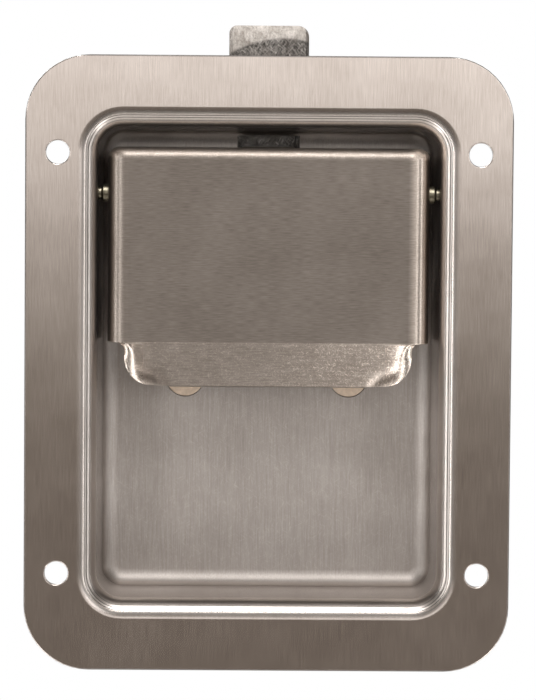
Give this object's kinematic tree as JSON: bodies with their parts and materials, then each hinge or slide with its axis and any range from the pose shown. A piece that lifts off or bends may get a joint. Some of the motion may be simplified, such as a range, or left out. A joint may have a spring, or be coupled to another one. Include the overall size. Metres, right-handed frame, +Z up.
{
  "type": "flush paddle latch",
  "caption": "Flush-mounted stainless paddle latch: a drawn pan with a sprung paddle that pulls a sprung slam bolt out of its strike.",
  "frame": {"origin": "centre of the four mounting holes, on the back face of the flange", "axes": "+X across the latch to the right as seen from outside, +Y back into the door, +Z up, the way the bolt points"},
  "size_m": [0.0952, 0.0307, 0.1266],
  "materials": {
    "pan_stainless": "brushed stainless sheet, polished draw radii",
    "zinc_plated_strip": "bright zinc-plated strip",
    "rivet_steel": "plain steel rivet, ground flush",
    "pin_steel": "turned steel",
    "zinc_plated_stud": "zinc-plated stud",
    "spring_wire": "drawn spring wire",
    "paddle_stainless": "satin stainless sheet with polished bends",
    "cast_bolt": "tumbled nickel-plated casting, rough"
  },
  "bodies": {
    "pan_assembly": {"pan": "pan_stainless", "bolt_housing": "zinc_plated_strip", "rivet_lower_left": "rivet_steel", "rivet_lower_right": "rivet_steel", "rivet_upper_left": "rivet_steel", "rivet_upper_right": "rivet_steel", "pivot_pin": "pin_steel", "spring_guide": "zinc_plated_stud", "bolt_spring": "spring_wire"},
    "paddle": {"paddle": "paddle_stainless", "paddle_spring": "spring_wire"},
    "bolt": {"bolt": "cast_bolt"}
  },
  "joints": [
    {"name": "paddle_hinge", "type": "hinge", "parent": "pan_assembly", "child": "paddle", "pos_m": [0, 0.006, 0.0332], "axis": [-1, 0, 0], "range_deg": [0, 36], "stiffness_Nm_per_rad": 0.15, "springref_deg": -34.38, "deforming": ["paddle_spring"]},
    {"name": "bolt_slide", "type": "slide", "parent": "pan_assembly", "child": "bolt", "axis": [0, 0, -1], "range_m": [0, 0.01089], "stiffness_N_per_m": 400, "springref_m": -0.012, "deforming": ["bolt_spring"]}
  ],
  "couplings": [
    {"joint": "paddle_hinge", "follows": "bolt_slide", "rad_per_m": 57.674}
  ]
}
